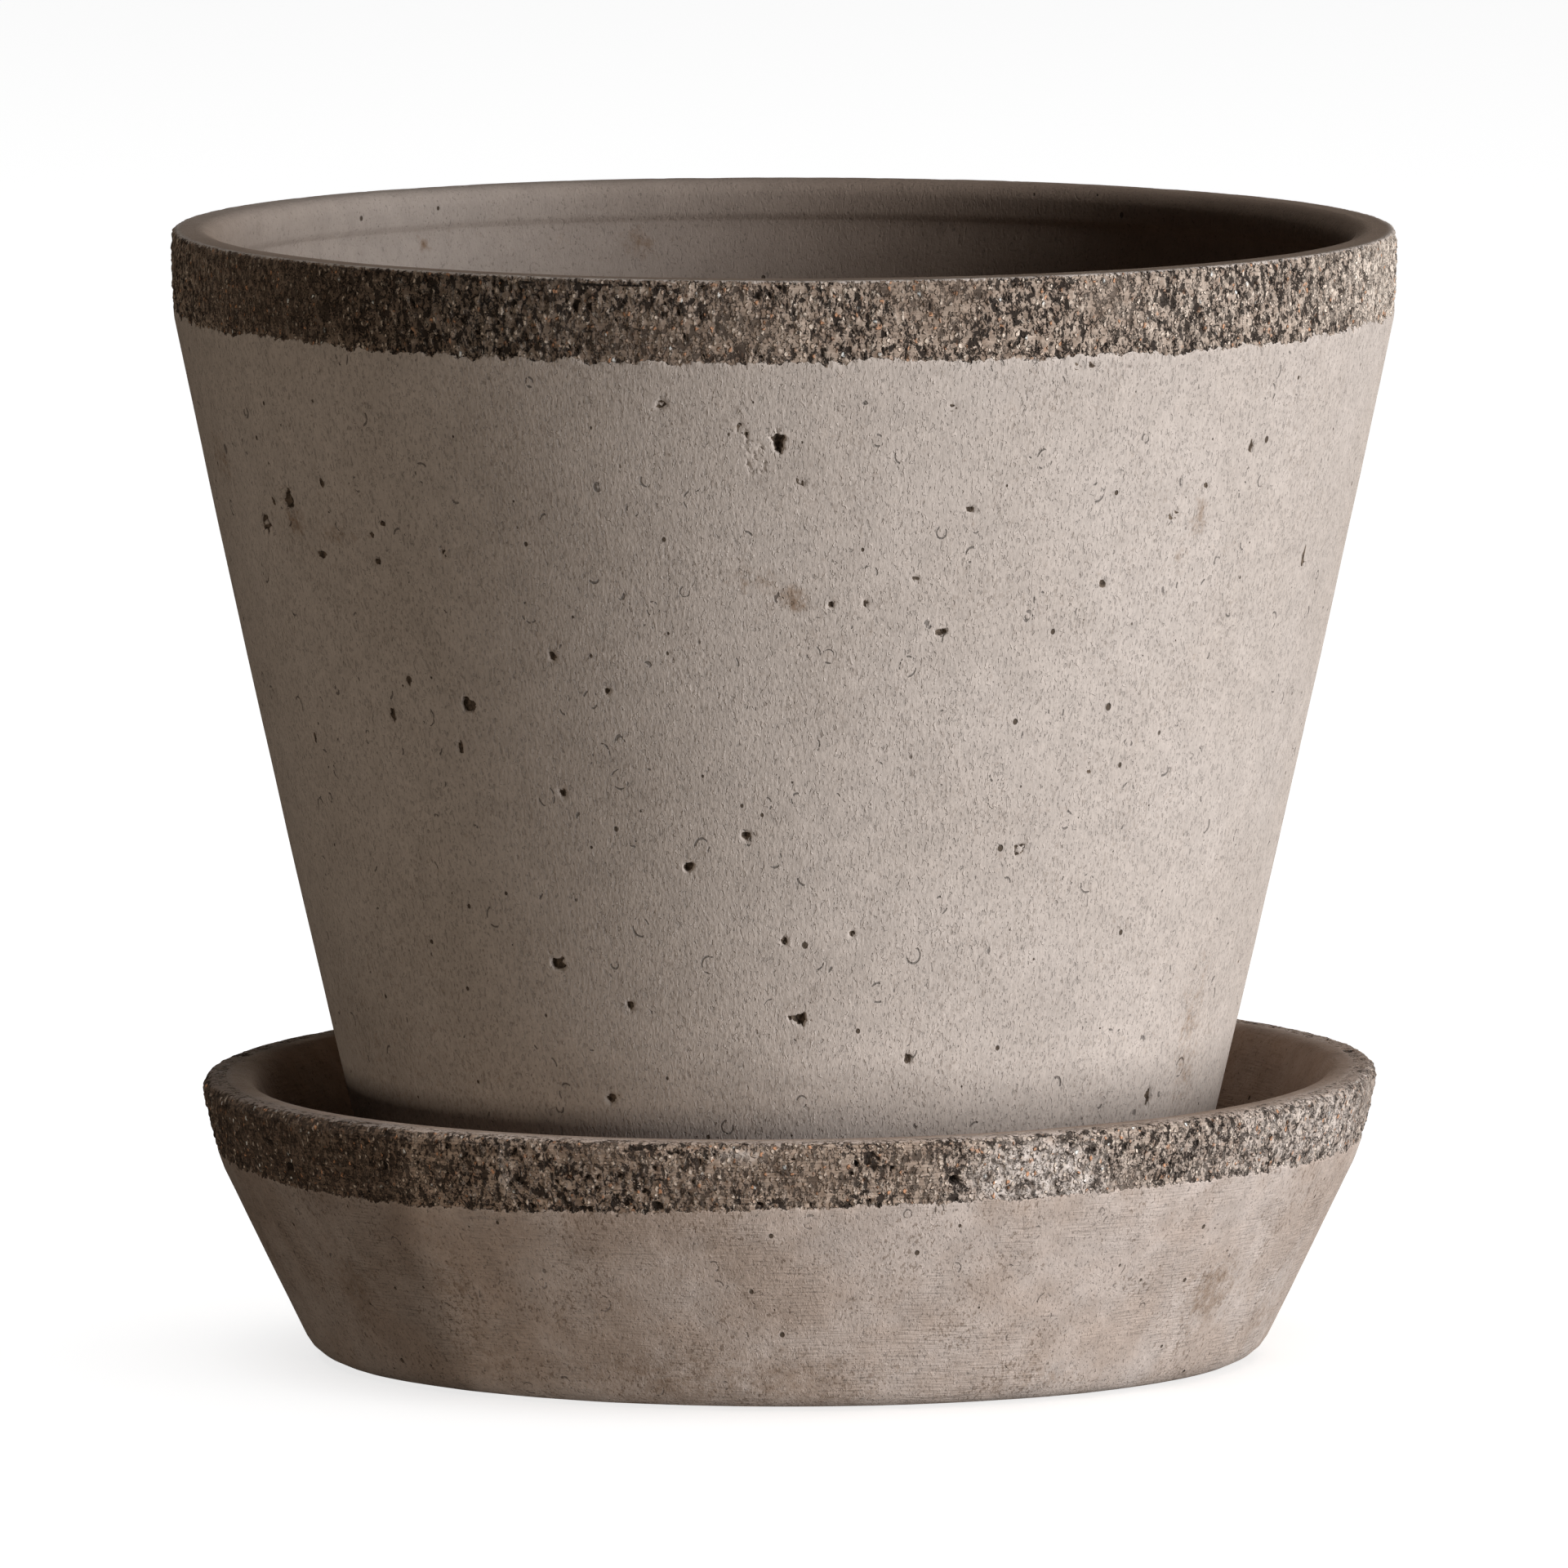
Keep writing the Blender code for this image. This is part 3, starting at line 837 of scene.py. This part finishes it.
# A texture's size is how far across its lumps are in millimetres, stretch is each coordinate's share,
# and from is the pair of values between which it takes hold. A shade multiplies the colour under it.
potLook = {
    "skin": (0.487, 0.409, 0.357),
    "warm": (0.425, 0.350, 0.298),
    "cloud": {"size": 24.0, "detail": 6.0, "rough": 0.6, "from": (0.65, 0.35)},
    "cloudShare": 0.4,
    # the inside: browner clay, darkened further as painted shade where the light doesn't reach
    "inner": (0.235, 0.160, 0.112),
    "innerShadeShare": 0.9,
    "mottle": {"size": 4.0, "detail": 6.0, "rough": 0.65, "from": (0.3, 0.7)},
    "mottleShade": 0.06,  # how much lighter and darker the small patches are
    "stain": (0.230, 0.145, 0.092),
    "grime": {"size": 1.6, "detail": 6.0, "rough": 0.75, "from": (0.56, 0.98)},
    "grimeInStain": 0.42,  # how much a stain adds to the grime's noise
    # painted shade, darkest towards the pot's foot and over the saucer's left side
    "paintedShade": (0.035, 0.024, 0.016),
    "paintedShadeShare": 0.42,
    # upright brush marks
    "dash": {"size": 0.36, "rough": 0.55, "stretch": (1.0, 1.0, 0.3), "from": (-0.25, 0.25)},
    "dashShade": 0.09,
    "dashHeight": 0.08,
    # short marks that stand out of the wall or lie sunk in it; the raised ones get a painted highlight
    # and the sunk ones painted shade
    "tick": {"size": 0.46, "detail": 1.0, "stretch": (1.0, 1.0, 0.42)},
    "tickRaised": (0.63, 0.69),
    "tickSunk": (0.37, 0.31),
    "tickHighlightAndShade": (1.08, 0.84),
    "tickHeight": 0.10,
    # the finest specks, drawn out and round
    "speckle": {
        "size": 0.5, "detail": 3.0, "rough": 0.65, "stretch": (1.0, 1.0, 0.65), "from": (0.58, 0.72),
    },
    "grit": {"size": 0.3, "detail": 1.0, "stretch": (1.0, 1.0, 0.8), "from": (0.66, 0.74)},
    "speck": 0.66,  # shade of both
    "speckleDepth": 0.08,
    # short upright flecks, more of them in some places than in others
    "fleck": {"size": 0.48, "rough": 0.6, "stretch": (1.0, 1.0, 0.5), "from": (0.63, 0.68)},
    "fleckPlaces": {"size": 9.0, "detail": 3.0, "from": (0.35, 0.65)},
    "fleckMore": 0.07,
    "fleckShare": 0.25,
    "fleckColour": (0.150, 0.102, 0.070),
    # pinholes, painted dark as shade in the holes
    "poreSize": 3.5,  # how far apart they are
    # least width, how much wider the widest is, and the power that makes wide ones rare
    "poreWidth": (0.012, 0.13, 2.2),
    "poreStretch": (1.0, 1.0, 0.8),
    "poreColour": (0.085, 0.060, 0.042),
    "poreDepth": 0.2,
    # painted shade in the pits
    "pitFray": 0.35,  # how much the speckle roughens a pit's edge
    "pitFrom": (0.5, 0.68),
    "pitBottom": (0.35, 0.65),
    "pitColours": ((0.045, 0.030, 0.021), (0.150, 0.108, 0.076)),
    # curled hair cracks: rings of different sizes round scattered points, shown only in places
    "curlSize": 4.6,
    "curlRadius": (0.10, 0.26),
    "curlLine": (0.028, 0.010),
    "curlPlaces": {"size": 1.7, "from": (0.56, 0.59)},
    "curlShade": 0.42,
    "curlDepth": 0.12,
    # level brush marks low on the wall
    "brush": {"size": 0.3, "rough": 0.6, "stretch": (0.07, 0.07, 1.0), "from": (0.55, 0.75)},
    "brushPlaces": {"size": 11.0, "from": (0.44, 0.56)},
    "brushSway": 20.0,  # how far apart the bends in them are
    "brushHeight": 0.0,
    "brushShade": 0.82,
    # the bare band's paste
    "matrix": (0.215, 0.146, 0.106),
    "matrixPale": (0.440, 0.338, 0.266),
    "paste": {"size": 2.2, "detail": 6.0, "rough": 0.8, "from": (0.34, 0.70)},
    "wornClay": (0.215, 0.150, 0.108),
    "wornShare": 0.5,
    # painted shade over the band, most on its shadowed left side
    "paintedBandShade": (0.055, 0.032, 0.018),
    "paintedBandShadeShare": 0.66,
    "scrape": {"size": 0.22, "detail": 1.0, "stretch": (0.06, 0.06, 1.0), "from": (0.3, 0.7)},
    "scrapeShow": 0.3,  # how much the level scrape lines show in the band
    # pale smears, partly painted light on the band's lit right side
    "smearAndLight": (0.660, 0.545, 0.450),
    "slipIn": (0.38, 0.6),  # the paste's values between which a smear goes from thin to full
    # crumbs: small grains of many colours
    "crumbSize": 0.62,
    "crumbStretch": (1.0, 1.0, 0.72),
    "crumbBend": 0.5,  # how far their edges are bent
    "crumbFrom": (0.5, 0.22),
    "crumbTone": (-0.65, 0.8),  # how much darker and lighter than the paste they are
    "crumbHeight": 0.48,
    "cream": (0.780, 0.630, 0.510),
    "rust": (0.560, 0.285, 0.160),
    "white": (0.80, 0.77, 0.72),
    # a crumb has a random number of its own for each of these, and takes the colour above the limits
    "creamPick": (0.72, 0.76),
    "rustPick": (0.91, 0.93),
    "whitePick": (0.012, 0.008),
    "grainFrom": (0.4, 0.8),  # where the mesh's own cream and rust grains take their colour
    # black gaps between them, and seams round lumps of clay, both painted as shade in the crevices
    "gap": {
        "size": 0.85, "detail": 3.0, "rough": 0.6, "stretch": (1.0, 1.0, 0.6), "from": (0.575, 0.595),
    },
    "crumbEnd": (0.54, 0.68),  # distances from a crumb's middle between which a gap may start
    "gapBetween": (0.50, 0.53),
    "gapDepth": 0.50,
    "lump": 1.2,  # how far across the lumps are
    "seamLine": (0.09, 0.02),
    "seamIn": (0.50, 0.42),
    # painted shade: near black, in slots, gaps and seams
    "slot": (0.014, 0.008, 0.005),
    # the line where skin and band meet
    "fray": {"size": 0.7, "detail": 4.0, "rough": 0.6},
    "frayWide": 1.4,
    "skinThick": 0.12,
    "edgeHighlight": 1.14,  # painted highlight: the skin's edge is paler, as an edge catching the light
    "roughness": 0.88,
    "specular": 0.25,
}

saucerLook = {
    **potLook,
    "skin": (0.478, 0.392, 0.340),
    "warm": (0.375, 0.280, 0.222),
    "stain": (0.250, 0.172, 0.122),
    "cloud": {"size": 13.0, "detail": 6.0, "rough": 0.6, "from": (0.65, 0.35)},
    "cloudShare": 0.7,
    "mottleShade": 0.10,
    "speck": 0.5,
    "fleckShare": 0.85,
    "tickHeight": 0.07,
    "brushHeight": 0.20,
    "scrapeShow": 0.5,
    "lump": 1.5,
    "smearAndLight": (0.620, 0.530, 0.470),
}


def wire(tree, kind, inputs, out=0, **settings):
    # adds a node with these settings, joins or sets its inputs, and gives one output
    node = tree.nodes.new(kind)
    for key, value in settings.items():
        setattr(node, key, value)
    for key, value in inputs.items():
        if isinstance(value, bpy.types.NodeSocket):
            tree.links.new(value, node.inputs[key])
        else:
            node.inputs[key].default_value = value
    return node.outputs[out]


def maths(tree, operation, first, second=0.0):
    # one operation on two numbers
    return wire(tree, "ShaderNodeMath", {0: first, 1: second}, operation=operation)


def plus(tree, first, second):
    # first + second
    return maths(tree, "ADD", first, second)


def minus(tree, first, second):
    # first - second
    return maths(tree, "SUBTRACT", first, second)


def times(tree, first, *others):
    # the product of all the numbers
    for other in others:
        first = maths(tree, "MULTIPLY", first, other)
    return first


def squeezed(tree, at, share):
    # each coordinate times its share, which stretches a texture where the share is small
    return wire(tree, "ShaderNodeVectorMath", {0: at, 1: share}, operation="MULTIPLY")


def cloudy(tree, at, texture):
    # noise from 0 to 1, squeezed first where the texture has a stretch
    if "stretch" in texture:
        at = squeezed(tree, at, texture["stretch"])
    inputs = {"Vector": at, "Scale": 1 / texture["size"]}
    inputs["Detail"] = texture.get("detail", 2.0)
    inputs["Roughness"] = texture.get("rough", 0.5)
    return wire(tree, "ShaderNodeTexNoise", inputs)


def cells(tree, at, size):
    # distance to the nearest point of a scatter, in sizes, and that point's random colour
    distance = wire(tree, "ShaderNodeTexVoronoi", {"Vector": at, "Scale": 1 / size})
    return distance, distance.node.outputs["Color"]


def scaled(tree, value, limits, first=0.0, last=1.0):
    # carries the first limit to first and the second to last, eased at both ends by 3t^2 - 2t^3
    if limits[0] > limits[1]:
        limits, first, last = limits[::-1], last, first
    inputs = {"Value": value, "From Min": limits[0], "From Max": limits[1]}
    inputs.update({"To Min": first, "To Max": last})
    return wire(tree, "ShaderNodeMapRange", inputs, interpolation_type="SMOOTHSTEP")


def mixed(tree, share, first, second):
    # colours: first times (1 - share) plus second times share
    inputs = {0: share}
    for socket, value in ((6, first), (7, second)):
        inputs[socket] = value if isinstance(value, bpy.types.NodeSocket) else (*value, 1)
    return wire(tree, "ShaderNodeMix", inputs, out=2, data_type="RGBA")


def shaded(tree, colour, factor):
    # a colour times a number
    return wire(tree, "ShaderNodeVectorMath", {0: colour, "Scale": factor}, operation="SCALE")


def mark(tree, name):
    # a number stored at each point of the mesh
    return wire(tree, "ShaderNodeAttribute", {}, out=2, attribute_name=name)


def skinOf(tree, at, look):
    # smoothed clay: clouds of warmer colour, upright brush marks, ticks with painted highlight and
    # shade, specks, pores and pits painted dark as shade, curled hair cracks, stains, and painted shade
    # inside and towards the foot; gives its colour and its height in millimetres
    warmth = scaled(tree, cloudy(tree, at, look["cloud"]), look["cloud"]["from"])
    colour = mixed(tree, times(tree, warmth, look["cloudShare"]), look["skin"], look["warm"])
    # the inside: browner clay with painted shade, paler where the lamp reaches it
    colour = mixed(tree, times(tree, mark(tree, "inner"), look["innerShadeShare"]), colour, look["inner"])
    mottle, change = cloudy(tree, at, look["mottle"]), look["mottleShade"]
    colour = shaded(tree, colour, scaled(tree, mottle, look["mottle"]["from"], 1 - change, 1 + change))
    stained = times(tree, mark(tree, "stain"), look["grimeInStain"])
    grime = plus(tree, cloudy(tree, at, look["grime"]), stained)
    colour = mixed(tree, scaled(tree, grime, look["grime"]["from"]), colour, look["stain"])

    raked = mark(tree, "raked")
    dashes = times(tree, minus(tree, cloudy(tree, at, look["dash"]), 0.5), raked)
    change = look["dashShade"]
    colour = shaded(tree, colour, scaled(tree, dashes, look["dash"]["from"], 1 - change, 1 + change))
    ticks = cloudy(tree, at, look["tick"])
    raised = times(tree, scaled(tree, ticks, look["tickRaised"]), raked)
    sunk = times(tree, scaled(tree, ticks, look["tickSunk"]), raked)
    # painted highlight on the raised ticks and painted shade in the sunk ones
    for shape, shade in zip((raised, sunk), look["tickHighlightAndShade"]):
        colour = shaded(tree, colour, scaled(tree, shape, (0.0, 1.0), 1.0, shade))
    speckle = cloudy(tree, at, look["speckle"])
    colour = shaded(tree, colour, scaled(tree, speckle, look["speckle"]["from"], 1.0, look["speck"]))
    grit = cloudy(tree, at, look["grit"])
    colour = shaded(tree, colour, scaled(tree, grit, look["grit"]["from"], 1.0, look["speck"]))

    places, more = look["fleckPlaces"], look["fleckMore"]
    often = scaled(tree, cloudy(tree, at, places), places["from"], -more, more)
    fleck = plus(tree, cloudy(tree, at, look["fleck"]), often)
    fleck = times(tree, scaled(tree, fleck, look["fleck"]["from"]), raked, look["fleckShare"])
    colour = mixed(tree, fleck, colour, look["fleckColour"])
    # painted shade towards the pot's foot and on the saucer's left side
    colour = mixed(tree, times(tree, mark(tree, "paintedShade"), look["paintedShadeShare"]), colour, look["paintedShade"])

    # pinholes and pits painted dark as shade in the holes
    narrow = squeezed(tree, at, look["poreStretch"])
    distance, chance = cells(tree, narrow, look["poreSize"])
    least, spread, power = look["poreWidth"]
    width = plus(tree, times(tree, maths(tree, "POWER", chance, power), spread), least)
    pore = scaled(tree, maths(tree, "DIVIDE", distance, width), (1.1, 0.7))
    colour = mixed(tree, pore, colour, look["poreColour"])
    pit = plus(tree, mark(tree, "pit"), times(tree, speckle, look["pitFray"]))
    bottom = mixed(tree, scaled(tree, speckle, look["pitBottom"]), *look["pitColours"])
    colour = mixed(tree, scaled(tree, pit, look["pitFrom"]), colour, bottom)

    distance, chance = cells(tree, narrow, look["curlSize"])
    off = minus(tree, distance, scaled(tree, chance, (0.0, 1.0), *look["curlRadius"]))
    line = scaled(tree, maths(tree, "ABSOLUTE", off), look["curlLine"])
    here = scaled(tree, cloudy(tree, at, look["curlPlaces"]), look["curlPlaces"]["from"])
    crack = times(tree, line, here, raked)
    colour = shaded(tree, colour, scaled(tree, crack, (0.0, 1.0), 1.0, look["curlShade"]))

    height = times(tree, dashes, look["dashHeight"])
    height = plus(tree, height, times(tree, raised, look["tickHeight"]))
    dents = {"tickHeight": sunk, "speckleDepth": speckle, "poreDepth": pore, "curlDepth": crack}
    for depth, dent in dents.items():
        height = minus(tree, height, times(tree, dent, look[depth]))
    if look["brushHeight"]:
        sway = wire(tree, "ShaderNodeTexNoise", {"Vector": at, "Scale": 1 / look["brushSway"]}, out=1)
        bent = wire(tree, "ShaderNodeVectorMath", {0: at, 1: sway}, operation="ADD")
        here = scaled(tree, cloudy(tree, at, look["brushPlaces"]), look["brushPlaces"]["from"])
        brush = times(tree, cloudy(tree, bent, look["brush"]), here)
        height = plus(tree, height, times(tree, brush, look["brushHeight"]))
        shade = scaled(tree, brush, look["brush"]["from"], 1.0, look["brushShade"])
        colour = shaded(tree, colour, shade)
    return colour, height


def bareOf(tree, at, look):
    # torn clay: brown paste, slots and gaps painted black as shade, cream and rust grains, level scrape
    # lines, pale smears that are partly painted light, and painted shade on the shadowed side
    # gives its colour and its height in millimetres, finer than the mesh's own relief
    worn = mark(tree, "worn")
    paste = cloudy(tree, at, look["paste"])
    paler = scaled(tree, paste, look["paste"]["from"])
    colour = mixed(tree, paler, look["matrix"], look["matrixPale"])
    colour = mixed(tree, times(tree, worn, look["wornShare"]), colour, look["wornClay"])
    # painted shade over the band's shadowed side
    colour = mixed(tree, times(tree, mark(tree, "paintedShade"), look["paintedBandShadeShare"]), colour, look["paintedBandShade"])
    scrape, show = cloudy(tree, at, look["scrape"]), look["scrapeShow"]
    lines = scaled(tree, scrape, look["scrape"]["from"], 1 - 0.5 * show, 1 + 0.5 * show)
    colour = shaded(tree, colour, lines)
    # pale smears, partly painted light on the lit side
    smearAndLight = times(tree, mark(tree, "smearAndLight"), scaled(tree, paste, look["slipIn"], 0.3, 1.0))
    colour = mixed(tree, smearAndLight, colour, look["smearAndLight"])

    rough = minus(tree, 1.0, times(tree, worn, 0.6))
    uneven = wire(tree, "ShaderNodeTexNoise", {"Vector": at, "Scale": 2.0, "Detail": 1.0}, out=1)
    parts = {0: squeezed(tree, at, look["crumbStretch"]), 1: shaded(tree, uneven, look["crumbBend"])}
    bent = wire(tree, "ShaderNodeVectorMath", parts, operation="ADD")
    distance, chance = cells(tree, bent, look["crumbSize"])
    crumb = scaled(tree, distance, look["crumbFrom"])
    first = wire(tree, "ShaderNodeSeparateColor", {0: chance})
    second, third = first.node.outputs[1], first.node.outputs[2]
    tone = times(tree, scaled(tree, second, (0.0, 1.0), *look["crumbTone"]), rough)
    tone = plus(tree, times(tree, tone, crumb), 1.0)
    colour = shaded(tree, colour, tone)
    pale = times(tree, crumb, scaled(tree, first, look["creamPick"], 0.0, 0.9), rough)
    orange = times(tree, crumb, scaled(tree, third, look["rustPick"]))
    white = times(tree, crumb, scaled(tree, third, look["whitePick"]))
    for share, name in ((pale, "cream"), (orange, "rust"), (white, "white")):
        colour = mixed(tree, share, colour, look[name])
    for name, most in (("cream", 0.45), ("rust", 0.7)):
        grain = scaled(tree, mark(tree, name), look["grainFrom"], 0.0, most)
        colour = mixed(tree, grain, colour, look[name])

    gaps = cloudy(tree, at, look["gap"])
    between = scaled(tree, distance, look["crumbEnd"])
    between = times(tree, between, scaled(tree, gaps, look["gapBetween"]))
    gap = maths(tree, "MAXIMUM", scaled(tree, gaps, look["gap"]["from"]), between)
    gap = times(tree, gap, rough)
    lumps = {"Vector": bent, "Scale": 1 / look["lump"]}
    seams = wire(tree, "ShaderNodeTexVoronoi", lumps, feature="DISTANCE_TO_EDGE")
    here = scaled(tree, paste, look["seamIn"])
    seam = times(tree, scaled(tree, seams, look["seamLine"]), here, rough)
    gap = maths(tree, "MAXIMUM", gap, seam)
    # painted shade in the slots, gaps and seams
    deep = scaled(tree, mark(tree, "slot"), (0.3, 0.7), 0.0, 0.92)
    shadeShare = maths(tree, "MAXIMUM", times(tree, gap, 0.95), deep)
    shadeShare = times(tree, shadeShare, scaled(tree, smearAndLight, (0.1, 0.8), 1.0, 0.15))  # a smear fills gaps, and on the lit side it stands in for light
    colour = mixed(tree, shadeShare, colour, look["slot"])

    height = times(tree, crumb, tone, look["crumbHeight"])
    height = minus(tree, height, times(tree, gap, look["gapDepth"]))
    height = plus(tree, height, times(tree, scrape, 0.2 * show))
    return colour, height


def clay(name, look):
    # skin and bare clay meet where the stored distance to the band's edge, roughened by noise, is 0
    material = bpy.data.materials.new(name)
    material.use_nodes = True
    tree = material.node_tree
    place = wire(tree, "ShaderNodeTexCoord", {}, out="Object")
    at = squeezed(tree, place, (metre, metre, metre))
    skinColour, skinHeight = skinOf(tree, at, look)
    bareColour, bareHeight = bareOf(tree, at, look)
    fray = times(tree, minus(tree, cloudy(tree, at, look["fray"]), 0.5), look["frayWide"])
    edge = plus(tree, mark(tree, "bare"), fray)
    share = scaled(tree, edge, (-0.05, 0.05))
    # painted highlight along the skin's edge at the band
    fromEdge = maths(tree, "ABSOLUTE", plus(tree, edge, 0.12))
    paintedRimHighlight = scaled(tree, fromEdge, (0.0, 0.16), look["edgeHighlight"], 1.0)
    colour = mixed(tree, share, shaded(tree, skinColour, paintedRimHighlight), bareColour)
    step = minus(tree, bareHeight, plus(tree, skinHeight, look["skinThick"]))
    height = plus(tree, skinHeight, times(tree, step, share))
    relief = wire(tree, "ShaderNodeBump", {"Height": height, "Distance": 1 / metre, "Strength": 1.0})
    shader = tree.nodes["Principled BSDF"]
    tree.links.new(colour, shader.inputs["Base Color"])
    tree.links.new(relief, shader.inputs["Normal"])
    shader.inputs["Roughness"].default_value = look["roughness"]
    shader.inputs["Specular IOR Level"].default_value = look["specular"]
    print(name, "mixed")
    return material


turnedPot = makePot()
turnedPot.data.materials.append(clay("pot clay", potLook))
turnedSaucer = makeSaucer()
turnedSaucer.data.materials.append(clay("saucer clay", saucerLook))
makeStudio(turnedPot, turnedSaucer)
